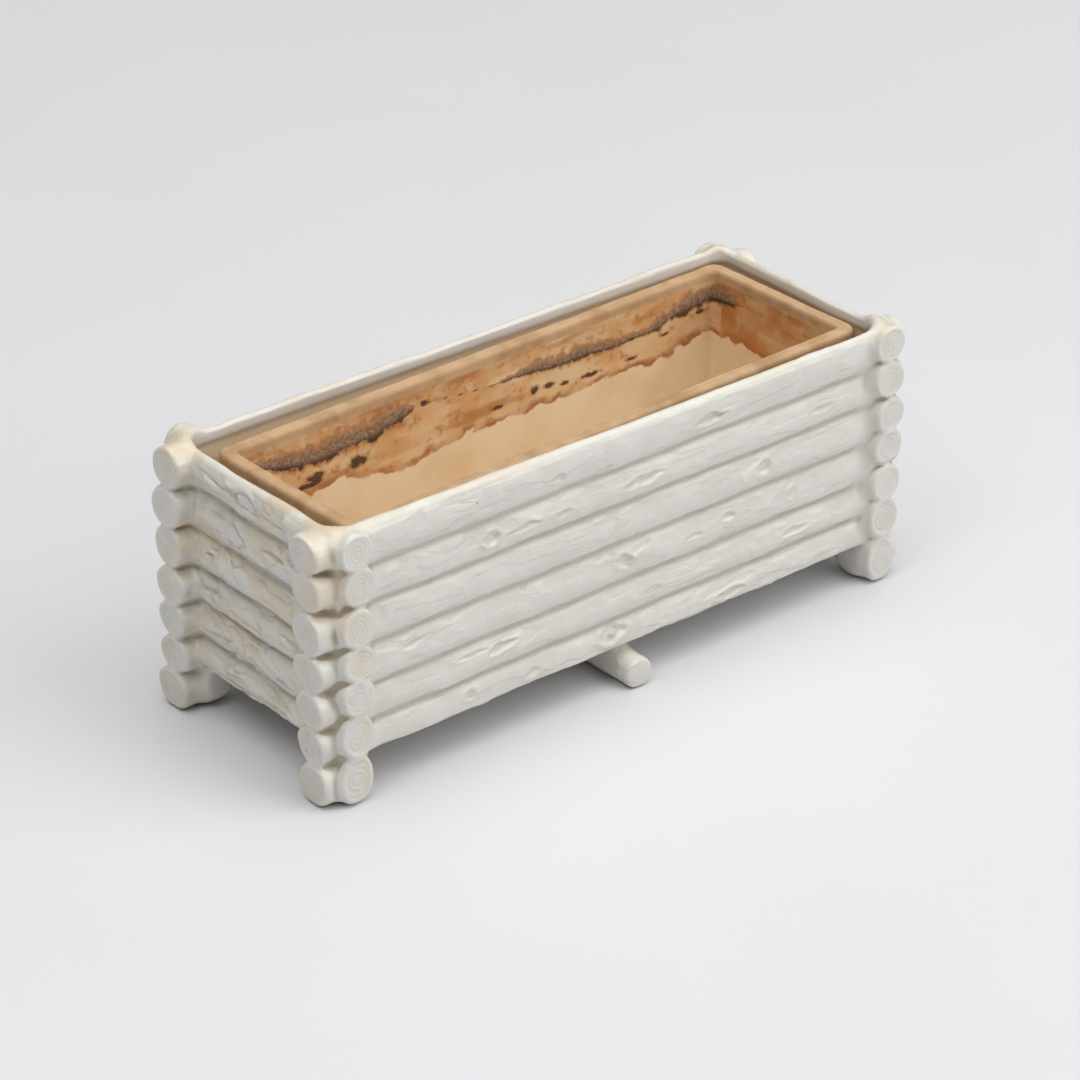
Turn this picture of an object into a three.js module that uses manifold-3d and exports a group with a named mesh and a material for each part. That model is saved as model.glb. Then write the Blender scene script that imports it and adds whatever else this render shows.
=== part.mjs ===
// Jardiniere in white-glazed earthenware, moulded like a log cabin, with a loose terracotta liner.
//
// Millimetres, +Z up. The origin is on the ground under the middle of the trough.
// +X runs along the trough, -Y is the front and -X is the left end.
// The glazed body is luted together from moulded parts: four log-faced walls, four corner posts
// that carry the log ends, four feet, a floor and a cross log under the middle.

import * as THREE from 'three';
import { mergeVertices } from 'three/addons/utils/BufferGeometryUtils.js';
import Module from 'manifold-3d';

const wasm = await Module();
wasm.setup();

// Hollow of the glazed body
const CAVITY_LENGTH = 390.4;
const CAVITY_WIDTH = 134.4;
const CAVITY_CORNER = 10;

// Walls: a thin web, and half-round logs that stand out from it
const WALL_WEB = 4;
const LOG_RELIEF = 4.5;
const WALL_FOOT_Z = 25.2;
const COURSES = 6;
const RIM_Z = 165.5;
const RIM_ABOVE_COURSES = 2.8;
const RIM_ROUND_OUT = 4;
const RIM_ROUND_IN = 2.5;

// Floor of the body, flush with the bottoms of the walls
const FLOOR_THICKNESS = 8.5;

// Log ends at the corners: the long logs' ends face the two ends, the short logs' ends face
// the front and the back and lie a little higher, and a little nearer to the right end
const OVERALL_LENGTH = 427.4;
const DEPTH_OVER_SHORT_LOGS = 163.8;
const LONG_LOG_RADIUS = 12;
const SHORT_LOG_RADIUS = 10.8;
const LONG_LOG_INSET_Y = 3.8;
const SHORT_LOG_INSET_X = 1.3;
const SHORT_LOG_SHIFT_X = 2.7;
const SHORT_LOGS_ABOVE_LONG_LOGS = 4.4;
const TOP_ROW_BELOW_RIM = 13.3;
const LOG_END_ROUND = 2.2;
const POST_BELOW_RIM = 1.5;

// Feet: a seventh, taller log end on each face; the short log runs in under the end wall
const LONG_FOOT_END_CENTRE_Z = 11.9;
const LONG_FOOT_END_HALF_HEIGHT = 13.1;
const SHORT_FOOT_END_CENTRE_Z = 14.9;
const SHORT_FOOT_END_HALF_HEIGHT = 15.6;
const FOOT_REACH_UNDER_END_WALL = 9.5;
const FOOT_SHOULDER_Z = 18;
const FOOT_SWEEP = 16;
const FOOT_SWEEP_PULL_OUT = 2;
const FOOT_SWEEP_PULL_UP = 6;
const FOOT_SETBACK = 1;

// Cross log under the middle of the floor, with the clay that lutes it to the floor
const CROSS_LOG_LENGTH = 169.4;
const CROSS_LOG_RADIUS = 9.9;
const CROSS_LOG_CENTRE_Z = 9.6;
const CROSS_LOG_X = 4;
const CROSS_LOG_NECK_WIDTH = 14;
const CROSS_LOG_NECK_INSET = 1;

// Terracotta liner, which stands on the floor a little askew
const LINER_LENGTH = 376;
const LINER_WIDTH = 122;
const LINER_CORNER = 8;
const LINER_RIM_BELOW_BODY_RIM = 7;
const LINER_RIM_WIDTH = 8.8;
const LINER_WALL = 8;
const LINER_FLOOR = 10;
const LINER_DRAFT = 2.5;
const LINER_EDGE_ROUND = 2;
const LINER_BOTTOM_CHAMFER = 4;
const LINER_INNER_FILLET = 7;
const LINER_STEP_DEPTH = 6;
const LINER_SHIFT_X = 4.2;
const LINER_SHIFT_Y = 0.2;
const LINER_YAW_DEG = 1.5;

// Clearance between pieces that touch, and the fineness of round surfaces
const SEAT_GAP = 0.3;
const SAME_POINT = 0.001;
const LOG_SIDES = 16;
const ARC_STEPS = 3;
const CORNER_STEPS = 5;

// Places that follow from the sizes above
const CAVITY_X = CAVITY_LENGTH / 2;
const CAVITY_Y = CAVITY_WIDTH / 2;
const WALL_COURSE = (RIM_Z - RIM_ABOVE_COURSES - WALL_FOOT_Z) / COURSES;
const LOWEST_ROW_Z = WALL_FOOT_Z + LONG_LOG_RADIUS;
const ROW_PITCH = (RIM_Z - TOP_ROW_BELOW_RIM - LOWEST_ROW_Z) / (COURSES - 1);
const POST_START_X = CAVITY_X - CAVITY_CORNER;
const POST_START_Y = CAVITY_Y - CAVITY_CORNER;
const CREST_X = CAVITY_X + WALL_WEB + LOG_RELIEF;
const CREST_Y = CAVITY_Y + WALL_WEB + LOG_RELIEF;
const LONG_LOG_Y = CAVITY_Y - LONG_LOG_INSET_Y;
const SHORT_LOG_X = CAVITY_X - SHORT_LOG_INSET_X;

// Middle of a quarter round, from each side of the sharp edge, as a share of the round's radius
const ROUND_MIDDLE = 1 - Math.SQRT1_2;

const GLAZE = { color: 0xd9d6cc, roughness: 0.25, metalness: 0 };
const TERRACOTTA = { color: 0xb98a5c, roughness: 0.9, metalness: 0 };

function piece(name, geometry, finish) {
  const mesh = new THREE.Mesh(geometry, new THREE.MeshStandardMaterial(finish));
  mesh.name = name;
  return mesh;
}

// A closed geometry as a solid that can be joined and cut.
function solidOf(geometry) {
  const bare = geometry.clone();
  bare.deleteAttribute('normal');
  bare.deleteAttribute('uv');
  const merged = mergeVertices(bare, SAME_POINT);
  const corners = merged.index.array;
  const kept = [];
  for (let i = 0; i < corners.length; i += 3) {
    const [a, b, c] = [corners[i], corners[i + 1], corners[i + 2]];
    if (a !== b && b !== c && c !== a) {
      kept.push(a, b, c);
    }
  }
  const mesh = new wasm.Mesh({
    numProp: 3,
    vertProperties: new Float32Array(merged.attributes.position.array),
    triVerts: new Uint32Array(kept),
  });
  return new wasm.Manifold(mesh);
}

function geometryOf(solid) {
  const mesh = solid.getMesh();
  const geometry = new THREE.BufferGeometry();
  geometry.setAttribute('position', new THREE.BufferAttribute(mesh.vertProperties, 3));
  geometry.setIndex(new THREE.BufferAttribute(mesh.triVerts, 1));
  geometry.computeVertexNormals();
  return geometry;
}

function box(low, high) {
  const size = high.map((value, i) => value - low[i]);
  const geometry = new THREE.BoxGeometry(...size);
  geometry.translate(...low.map((value, i) => value + size[i] / 2));
  return solidOf(geometry);
}

// A box given for the corner at +X +Y, moved to the corner with signs sx and sy.
function cornerBox(sx, sy, low, high) {
  const xs = [sx * low[0], sx * high[0]].sort((a, b) => a - b);
  const ys = [sy * low[1], sy * high[1]].sort((a, b) => a - b);
  return box([xs[0], ys[0], low[2]], [xs[1], ys[1], high[2]]);
}

function arcPoints(cx, cy, radius, from, to, steps) {
  return Array.from({ length: steps + 1 }, (_, i) => {
    const angle = from + ((to - from) * i) / steps;
    return new THREE.Vector2(cx + radius * Math.cos(angle), cy + radius * Math.sin(angle));
  });
}

// Section of a log-faced wall, u outwards from the hollow's face and v up. The lowest log of a long
// wall is cut straight down from its middle; that of an end wall is round.
function wallShape(cutFoot) {
  const crest = WALL_WEB + LOG_RELIEF;
  const half = WALL_COURSE / 2;
  const radius = (half * half + LOG_RELIEF * LOG_RELIEF) / (2 * LOG_RELIEF);
  const spread = Math.asin(half / radius);
  const shape = new THREE.Shape();
  shape.moveTo(0, WALL_FOOT_Z);
  shape.lineTo(cutFoot ? crest : WALL_WEB, WALL_FOOT_Z);
  for (let i = 0; i < COURSES; i++) {
    const middle = WALL_FOOT_Z + WALL_COURSE * (i + 0.5);
    const start = cutFoot && i === 0 ? 0 : -spread;
    const end = i < COURSES - 1 ? spread : 0;
    shape.absarc(crest - radius, middle, radius, start, end, false);
  }
  shape.lineTo(crest, RIM_Z - RIM_ROUND_OUT);
  shape.absarc(crest - RIM_ROUND_OUT, RIM_Z - RIM_ROUND_OUT, RIM_ROUND_OUT, 0, Math.PI / 2, false);
  shape.absarc(RIM_ROUND_IN, RIM_Z - RIM_ROUND_IN, RIM_ROUND_IN, Math.PI / 2, Math.PI, false);
  shape.closePath();
  return shape;
}

// A wall of this length whose hollow face stands at this distance from the middle, turned to a side.
function wall(name, length, distance, turn, cutFoot) {
  const geometry = new THREE.ExtrudeGeometry(wallShape(cutFoot), {
    depth: length,
    bevelEnabled: false,
    curveSegments: ARC_STEPS,
  });
  geometry.translate(distance, 0, -length / 2);
  const mesh = piece(name, geometry, GLAZE);
  mesh.rotation.x = Math.PI / 2;
  const side = new THREE.Group();
  side.rotation.z = turn;
  side.add(mesh);
  return side;
}

// Plan of a corner post: it fills the corner between two walls and rounds the hollow's corner.
function postShape(sx, sy) {
  const hollow = arcPoints(POST_START_X, POST_START_Y, CAVITY_CORNER, Math.PI / 2, 0, CORNER_STEPS);
  const outline = [
    ...hollow,
    new THREE.Vector2(CREST_X, POST_START_Y),
    new THREE.Vector2(CREST_X, CREST_Y),
    new THREE.Vector2(POST_START_X, CREST_Y),
  ];
  return new THREE.Shape(outline.map((p) => new THREE.Vector2(sx * p.x, sy * p.y)));
}

function prism(shape, low, high) {
  const geometry = new THREE.ExtrudeGeometry(shape, { depth: high - low, bevelEnabled: false });
  geometry.translate(0, 0, low);
  return solidOf(geometry);
}

// A short log with a rounded edge at its sawn end, from the origin along +Y.
function logEnd(radius, length, stretch) {
  const slope = LOG_END_ROUND * ROUND_MIDDLE;
  const profile = [
    new THREE.Vector2(0, 0),
    new THREE.Vector2(radius, 0),
    new THREE.Vector2(radius, length - LOG_END_ROUND),
    new THREE.Vector2(radius - slope, length - slope),
    new THREE.Vector2(radius - LOG_END_ROUND, length),
    new THREE.Vector2(0, length),
  ];
  const geometry = new THREE.LatheGeometry(profile, LOG_SIDES);
  geometry.scale(1, 1, stretch);
  return geometry;
}

// The end of a long log, which faces along X, at this height in the corner sx, sy.
function longLogEnd(sx, sy, z, stretch) {
  const geometry = logEnd(LONG_LOG_RADIUS, OVERALL_LENGTH / 2 - CAVITY_X, stretch);
  geometry.rotateZ((-sx * Math.PI) / 2);
  geometry.translate(sx * CAVITY_X, sy * LONG_LOG_Y, z);
  return solidOf(geometry);
}

// The end of a short log, which faces along Y.
function shortLogEnd(sx, sy, z, stretch) {
  const geometry = logEnd(SHORT_LOG_RADIUS, DEPTH_OVER_SHORT_LOGS / 2 - CAVITY_Y, stretch);
  geometry.rotateZ(sy > 0 ? 0 : Math.PI);
  geometry.translate(sx * SHORT_LOG_X + SHORT_LOG_SHIFT_X, sy * CAVITY_Y, z);
  return solidOf(geometry);
}

// Cuts away what would reach into the walls beside a post or a foot.
function clearOfWalls(solid, sx, sy, low) {
  const longWall = cornerBox(sx, sy, [0, 0, low], [POST_START_X, CREST_Y + SEAT_GAP, RIM_Z + SEAT_GAP]);
  const shortWall = cornerBox(sx, sy, [0, 0, low], [CREST_X + SEAT_GAP, POST_START_Y, RIM_Z + SEAT_GAP]);
  return solid.subtract(longWall).subtract(shortWall);
}

function cornerPost(name, sx, sy) {
  let solid = prism(postShape(sx, sy), WALL_FOOT_Z, RIM_Z - POST_BELOW_RIM);
  for (let row = 0; row < COURSES; row++) {
    const z = LOWEST_ROW_Z + row * ROW_PITCH;
    solid = solid.add(longLogEnd(sx, sy, z, 1));
    solid = solid.add(shortLogEnd(sx, sy, z + SHORT_LOGS_ABOVE_LONG_LOGS, 1));
  }
  return piece(name, geometryOf(clearOfWalls(solid, sx, sy, WALL_FOOT_Z)), GLAZE);
}

// Side view of the log in a foot: square at its sawn end and rounded off below at its inner end.
function footShape(start, tip) {
  const shape = new THREE.Shape();
  shape.moveTo(start, 0);
  shape.lineTo(start, WALL_FOOT_Z);
  shape.lineTo(tip, WALL_FOOT_Z);
  shape.lineTo(tip, FOOT_SHOULDER_Z);
  shape.quadraticCurveTo(tip + FOOT_SWEEP_PULL_OUT, FOOT_SWEEP_PULL_UP, tip + FOOT_SWEEP, 0);
  shape.closePath();
  return shape;
}

// A log of a foot along +X, from its inner end at tip, as wide as it is given from y = low to high.
function footLog(start, tip, low, high) {
  const geometry = new THREE.ExtrudeGeometry(footShape(start, tip), {
    depth: high - low,
    bevelEnabled: false,
    curveSegments: CORNER_STEPS,
  });
  geometry.rotateX(Math.PI / 2);
  geometry.translate(0, high, 0);
  return geometry;
}

// The long log of a foot, which ends inside the short one.
function longFootLog(sx, sy) {
  const geometry = footLog(CREST_X - FOOT_SETBACK, POST_START_X, POST_START_Y, CREST_Y - FOOT_SETBACK);
  return mirrored(geometry, sx, sy);
}

// The short log of a foot, which runs in under the end wall.
function shortFootLog(sx, sy) {
  const tip = POST_START_Y - FOOT_REACH_UNDER_END_WALL;
  const geometry = footLog(CREST_Y - FOOT_SETBACK, tip, -(CREST_X - FOOT_SETBACK), -POST_START_X);
  geometry.rotateZ(Math.PI / 2);
  return mirrored(geometry, sx, sy);
}

// Mirrors a solid made for the corner at +X +Y to the corner sx, sy.
function mirrored(geometry, sx, sy) {
  const matrix = new THREE.Matrix4().makeScale(sx, sy, 1);
  return solidOf(geometry).transform(matrix.toArray());
}

function foot(name, sx, sy) {
  const longStretch = LONG_FOOT_END_HALF_HEIGHT / LONG_LOG_RADIUS;
  const shortStretch = SHORT_FOOT_END_HALF_HEIGHT / SHORT_LOG_RADIUS;
  const ground = box([-OVERALL_LENGTH, -OVERALL_LENGTH, -RIM_Z], [OVERALL_LENGTH, OVERALL_LENGTH, 0]);
  const post = cornerBox(
    sx,
    sy,
    [0, 0, WALL_FOOT_Z],
    [CREST_X + SEAT_GAP, CREST_Y + SEAT_GAP, RIM_Z],
  );
  const solid = prism(postShape(sx, sy), FOOT_SHOULDER_Z, WALL_FOOT_Z)
    .add(longFootLog(sx, sy))
    .add(shortFootLog(sx, sy))
    .add(longLogEnd(sx, sy, LONG_FOOT_END_CENTRE_Z, longStretch))
    .add(shortLogEnd(sx, sy, SHORT_FOOT_END_CENTRE_Z, shortStretch))
    .subtract(ground)
    .subtract(post);
  return piece(name, geometryOf(solid), GLAZE);
}

function floorSlab() {
  const x = CAVITY_X - SEAT_GAP;
  const y = CAVITY_Y - SEAT_GAP;
  const geometry = new THREE.ExtrudeGeometry(new THREE.Shape(roundedRectangle(x, y, CAVITY_CORNER)), {
    depth: FLOOR_THICKNESS,
    bevelEnabled: false,
  });
  geometry.translate(0, 0, WALL_FOOT_Z);
  return piece('floor_slab', geometry, GLAZE);
}

function roundedRectangle(halfX, halfY, radius) {
  const centres = [[1, 1], [-1, 1], [-1, -1], [1, -1]];
  return centres.flatMap(([sx, sy], i) => {
    const from = (i * Math.PI) / 2;
    const to = from + Math.PI / 2;
    return arcPoints(sx * (halfX - radius), sy * (halfY - radius), radius, from, to, CORNER_STEPS);
  });
}

function crossLog() {
  const half = CROSS_LOG_LENGTH / 2;
  const log = [1, -1].map((side) => {
    const geometry = logEnd(CROSS_LOG_RADIUS, half, 1);
    geometry.rotateZ(side > 0 ? 0 : Math.PI);
    geometry.translate(CROSS_LOG_X, 0, CROSS_LOG_CENTRE_Z);
    return solidOf(geometry);
  });
  const neckX = CROSS_LOG_NECK_WIDTH / 2;
  const neckY = CREST_Y - CROSS_LOG_NECK_INSET;
  const neck = box(
    [CROSS_LOG_X - neckX, -neckY, CROSS_LOG_CENTRE_Z],
    [CROSS_LOG_X + neckX, neckY, WALL_FOOT_Z],
  );
  const ground = box([-half, -half * 2, -half], [half, half * 2, 0]);
  return piece('cross_log', geometryOf(log[0].add(log[1]).add(neck).subtract(ground)), GLAZE);
}

// A closed solid through rings of points, with a flat cap over the first and the last ring.
function loft(rings) {
  const count = rings[0].length;
  const positions = rings.flat().flatMap((p) => [p.x, p.y, p.z]);
  const faces = [];
  for (let ring = 0; ring < rings.length - 1; ring++) {
    for (let i = 0; i < count; i++) {
      const j = (i + 1) % count;
      const [a, b] = [ring * count + i, ring * count + j];
      faces.push(a, b, b + count, a, b + count, a + count);
    }
  }
  const last = (rings.length - 1) * count;
  for (let i = 1; i < count - 1; i++) {
    faces.push(0, i + 1, i);
    faces.push(last, last + i, last + i + 1);
  }
  const geometry = new THREE.BufferGeometry();
  geometry.setAttribute('position', new THREE.Float32BufferAttribute(positions, 3));
  geometry.setIndex(faces);
  geometry.computeVertexNormals();
  return geometry;
}

// The liner's surface as rings from the outside of its floor, over the rim, to the inside of its floor.
function liner() {
  const height = RIM_Z - LINER_RIM_BELOW_BODY_RIM - WALL_FOOT_Z - FLOOR_THICKNESS;
  const round = LINER_EDGE_ROUND;
  const slope = round * ROUND_MIDDLE;
  const inset = LINER_RIM_WIDTH;
  const wallInset = LINER_DRAFT + LINER_WALL;
  const hollow = LINER_INNER_FILLET * ROUND_MIDDLE;
  const section = [
    [LINER_DRAFT + LINER_BOTTOM_CHAMFER, 0],
    [LINER_DRAFT, LINER_BOTTOM_CHAMFER],
    [0, height - round],
    [slope, height - slope],
    [round, height],
    [inset - round, height],
    [inset - slope, height - slope],
    [inset, height - round],
    [inset, height - LINER_STEP_DEPTH],
    [wallInset, LINER_FLOOR + LINER_INNER_FILLET],
    [wallInset + hollow, LINER_FLOOR + hollow],
    [wallInset + LINER_INNER_FILLET, LINER_FLOOR],
  ];
  const rings = section.map(([inward, z]) => {
    const radius = Math.max(LINER_CORNER - inward, LINER_EDGE_ROUND);
    const outline = roundedRectangle(LINER_LENGTH / 2 - inward, LINER_WIDTH / 2 - inward, radius);
    return outline.map((p) => new THREE.Vector3(p.x, p.y, z));
  });
  const mesh = piece('liner', loft(rings), TERRACOTTA);
  mesh.position.set(LINER_SHIFT_X, LINER_SHIFT_Y, WALL_FOOT_Z + FLOOR_THICKNESS);
  mesh.rotation.z = THREE.MathUtils.degToRad(LINER_YAW_DEG);
  return mesh;
}

const jardiniere = new THREE.Group();

jardiniere.add(wall('right_wall', 2 * POST_START_Y, CAVITY_X, 0, false));
jardiniere.add(wall('back_wall', 2 * POST_START_X, CAVITY_Y, Math.PI / 2, true));
jardiniere.add(wall('left_wall', 2 * POST_START_Y, CAVITY_X, Math.PI, false));
jardiniere.add(wall('front_wall', 2 * POST_START_X, CAVITY_Y, -Math.PI / 2, true));

for (const [depthName, sy] of [['front', -1], ['back', 1]]) {
  for (const [sideName, sx] of [['left', -1], ['right', 1]]) {
    jardiniere.add(cornerPost(`${depthName}_${sideName}_corner_post`, sx, sy));
    jardiniere.add(foot(`${depthName}_${sideName}_foot`, sx, sy));
  }
}

jardiniere.add(floorSlab());
jardiniere.add(crossLog());
jardiniere.add(liner());

export default jardiniere;
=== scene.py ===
import math

import bpy
import numpy as np
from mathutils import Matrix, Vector


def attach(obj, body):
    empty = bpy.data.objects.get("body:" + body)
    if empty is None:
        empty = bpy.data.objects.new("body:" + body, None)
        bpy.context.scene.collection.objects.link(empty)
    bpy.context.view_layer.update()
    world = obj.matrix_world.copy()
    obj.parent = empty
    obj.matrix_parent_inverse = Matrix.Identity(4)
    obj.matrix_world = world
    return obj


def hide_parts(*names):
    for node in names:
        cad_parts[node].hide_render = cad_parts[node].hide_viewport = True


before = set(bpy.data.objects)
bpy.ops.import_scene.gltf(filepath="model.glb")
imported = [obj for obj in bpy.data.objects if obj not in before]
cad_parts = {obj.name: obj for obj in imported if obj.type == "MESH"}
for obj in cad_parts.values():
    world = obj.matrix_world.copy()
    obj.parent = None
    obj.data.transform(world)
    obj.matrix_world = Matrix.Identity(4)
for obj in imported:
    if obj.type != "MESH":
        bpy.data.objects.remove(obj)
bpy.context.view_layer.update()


# Studio: matt pale paper under the pot, a broad softbox to the front right, a smaller one high on the
# left, a soft glow overhead, and a long lens where the photograph was taken from.
PAPER_SIZE = 14.0
PAPER_CLOUD = 0.25
SKY_LOW = 0.03
SKY_RISE = 3.6
# Each lamp's place, width in metres and power in watts.
LAMPS = {
    "right_softbox": ((1.5, -2.25, 2.15), 3.4, 61.0),
    "left_softbox": ((-1.35, -0.35, 1.9), 1.1, 7.5),
}
LAMP_AIM = (0, 0, 0.05)
LENS_MM = 133.34
VIEW_AZIMUTH = math.radians(-39.46)
VIEW_ELEVATION = math.radians(28.77)
VIEW_DISTANCE = 2.2913
VIEW_TARGET = Vector((-0.00274, -0.00326, 0.06389))


def linear(hex_colour):
    """An sRGB hex colour as linear red, green, blue and alpha."""
    channels = [int(hex_colour[i:i + 2], 16) / 255 for i in (1, 3, 5)]
    return [c / 12.92 if c <= 0.04045 else ((c + 0.055) / 1.055) ** 2.4 for c in channels] + [1.0]


def add(tree, kind, inputs=None, output=0, **settings):
    """Adds a shader node and gives one of its outputs; an input is a value or another node's output."""
    made = tree.nodes.new("ShaderNode" + kind)
    for name, value in settings.items():
        setattr(made, name, value)
    for key, value in (inputs or {}).items():
        if isinstance(value, bpy.types.NodeSocket):
            tree.links.new(value, made.inputs[key])
        else:
            made.inputs[key].default_value = value
    return made.outputs[output]


def new_material(name):
    """A material with its node tree and its surface shader."""
    made = bpy.data.materials.new(name)
    made.use_nodes = True
    return made, made.node_tree, made.node_tree.nodes["Principled BSDF"]


def new_object(name, points, faces):
    """A mesh object from its points and faces."""
    mesh = bpy.data.meshes.new(name)
    mesh.from_pydata(points, [], faces)
    made = bpy.data.objects.new(name, mesh)
    bpy.context.scene.collection.objects.link(made)
    return made


def aim(thing, place, target):
    """Puts a light or camera at a place and turns it to a target."""
    thing.location = place
    thing.rotation_euler = (Vector(target) - Vector(place)).to_track_quat("-Z", "Y").to_euler()


# Uncoated paper: matt, with faint cloudy marks 250 mm wide.
paper, tree, shader = new_material("uncoated_paper")
place = add(tree, "TexCoord", output="Object")
clouds = add(tree, "TexNoise", {"Vector": place, "Scale": 1 / PAPER_CLOUD, "Detail": 4.0})
tone = {0: clouds, 6: linear("#dcdcde"), 7: linear("#e1e1e3")}
tree.links.new(add(tree, "Mix", tone, output=2, data_type="RGBA"), shader.inputs["Base Color"])
shader.inputs["Roughness"].default_value = 0.9

half = PAPER_SIZE / 2
paper_corners = [(-half, -half, 0), (half, -half, 0), (half, half, 0), (-half, half, 0)]
floor = new_object("paper_floor", paper_corners, [(0, 1, 2, 3)])
floor.data.materials.append(paper)

world = bpy.data.worlds.new("studio_daylight")
bpy.context.scene.world = world
world.use_nodes = True
tree = world.node_tree
sky = tree.nodes["Background"]
sky.inputs["Color"].default_value = linear("#fbfbfc")
# The glow rises with the eighth power of the height, so it stays overhead.
height = add(tree, "SeparateXYZ", {0: add(tree, "TexCoord", output="Generated")}, output="Z")
square = add(tree, "Math", {0: height, 1: height}, operation="MULTIPLY")
eighth = add(tree, "Math", {0: square, 1: 4.0}, operation="POWER")
glow = add(tree, "Math", {0: eighth, 1: SKY_RISE, 2: SKY_LOW}, operation="MULTIPLY_ADD")
tree.links.new(glow, sky.inputs["Strength"])

for name, (place, width, power) in LAMPS.items():
    lamp = bpy.data.objects.new(name, bpy.data.lights.new(name, "AREA"))
    lamp.data.shape = "DISK"
    lamp.data.size = width
    lamp.data.energy = power
    bpy.context.scene.collection.objects.link(lamp)
    aim(lamp, place, LAMP_AIM)

camera = bpy.data.objects.new("camera", bpy.data.cameras.new("camera"))
camera.data.lens = LENS_MM
bpy.context.scene.collection.objects.link(camera)
level_part = math.cos(VIEW_ELEVATION)
backwards = Vector((math.sin(VIEW_AZIMUTH) * level_part, -math.cos(VIEW_AZIMUTH) * level_part,
                    math.sin(VIEW_ELEVATION)))
aim(camera, VIEW_TARGET + backwards * VIEW_DISTANCE, VIEW_TARGET)
bpy.context.scene.camera = camera
bpy.context.scene.view_settings.view_transform = "Standard"


# Glazed body: press-moulded earthenware luted together wet, then fired as one piece. Its shape is a
# field in millimetres on a grid, negative inside the clay, which the parts below fill one by one.
# The grid is fine at the corners and coarser along the walls.
POST_X = 185.2
POST_Y = 57.2
WALL_FOOT = 25.2
FINE = 1.0
COARSE = 1.5
EMPTY = 9.0


def grid_lines(cut, reach):
    """Places along one axis; the cut between two parts falls midway between two lines."""
    start = cut + FINE / 2
    outer = np.arange(start, reach, FINE)
    inner = np.linspace(-start + FINE, start - FINE, round(2 * start / COARSE))
    return np.concatenate([-outer[::-1], inner, outer])


xs = grid_lines(POST_X, 217)
ys = grid_lines(POST_Y, 87)
zs = np.arange(WALL_FOOT - FINE * 27.5, 171, FINE)
field = np.full((len(xs), len(ys), len(zs)), EMPTY, np.float32)


def smooth_max(a, b, width):
    """The larger of two fields, with a rounded edge of about this width."""
    near = np.maximum(width - np.abs(a - b), 0) / width
    return np.maximum(a, b) + near * near * width / 4


def smooth_min(a, b, width):
    """The smaller of two fields, with a fillet of about this width."""
    return -smooth_max(-a, -b, width)


def window(low, high):
    """The part of the grid between two corners, and its lines as x, y and z arrays."""
    ranges = [slice(*np.searchsorted(lines, ends)) for lines, ends in zip((xs, ys, zs), zip(low, high))]
    x, y, z = xs[ranges[0]], ys[ranges[1]], zs[ranges[2]]
    return tuple(ranges), x[:, None, None], y[None, :, None], z[None, None, :]


def wander(along, wavelength, seed):
    """A slow hand-made waver along a line, between about -1 and 1."""
    phases = np.random.default_rng(seed).uniform(0, 2 * np.pi, 3)
    turn = 2 * np.pi * along / wavelength
    waves = zip((1.0, 0.6, 0.3), (1.0, 2.3, 5.1), phases)
    return sum(size * np.sin(pace * turn + phase) for size, pace, phase in waves) / 1.6


# Log walls: each wall is one slab with six half-round logs modelled on its outer face. The grooves
# between them are soft, and no two are quite level.
CAVITY_X = 195.2
CAVITY_Y = 67.2
CAVITY_CORNER = 10.0
WALL_THICKNESS = 8.1
RIM_Z = 165.6
RIM_ROUND = 5.5
CORE_X = 199.4
CORE_Y = 71.4
# Thickness left behind the grooves, how squarely the logs bulge, and how often their relief is evened.
LONG_WALL = (3.3, 2.8, 3)
END_WALL = (1.8, 2.2, 1)
# Heights of a wall's foot, its five grooves and the top of its last log.
FRONT_GROOVES = (25.8, 43.6, 65.7, 90.9, 115.3, 138.0, 168.5)
BACK_GROOVES = (26.0, 44.5, 66.4, 91.2, 114.6, 138.4, 168.0)
LEFT_GROOVES = (28.4, 48.2, 71.3, 92.0, 115.0, 140.7, 169.0)
RIGHT_GROOVES = (27.6, 47.0, 70.2, 92.6, 115.8, 140.0, 168.5)


def log_wall(grooves, along, out, z, seed, build, cut_foot):
    """Field of one wall, from places along it, outwards from the hollow's face, and up."""
    web, flatness, softness = build
    relief = np.zeros(np.broadcast_shapes(along.shape, z.shape))
    for course in range(6):
        low = grooves[course] + 0.5 * wander(along, 110, seed + course)
        high = grooves[course + 1] + 0.5 * wander(along, 110, seed + course + 1)
        across = (2 * z - low - high) / (high - low)
        if course == 0 and cut_foot:
            across = np.maximum(across, -0.1)
        swell = WALL_THICKNESS - web + 0.3 * wander(along, 90, seed + 20 + course)
        # The bark was pared flat from the lower half; a ragged edge divides it from the upper half.
        ragged = wander(along, 75, seed + 60 + course) + 0.7 * wander(along, 21, seed + 70 + course)
        ragged = 0.12 + 0.2 * (ragged + 0.5 * wander(along, 7, seed + 80 + course))
        pared = np.clip((ragged - across) / 0.1 + 0.5, 0, 1)
        swell = swell + 0.5 * pared - 1.7 * np.maximum(across - ragged, 0)
        relief = np.maximum(relief, swell * np.maximum(1 - np.abs(across) ** flatness, 0) ** 0.65)
    for _ in range(softness):
        relief[..., 1:-1] = (relief[..., :-2] + 2 * relief[..., 1:-1] + relief[..., 2:]) / 4
    slope = np.gradient(relief, axis=2) / FINE
    outside = (out - web - relief) / np.sqrt(1 + np.minimum(slope * slope, 4))
    rim = RIM_Z + 0.7 * wander(along, 260, seed + 40)
    foot = grooves[0] + 0.5 * wander(along, 120, seed)
    wall = smooth_max(outside, z - rim, RIM_ROUND)
    wall = smooth_max(wall, -3 - out, 1)
    return smooth_max(wall, foot - z, 1.5 if cut_foot else 4)


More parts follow.
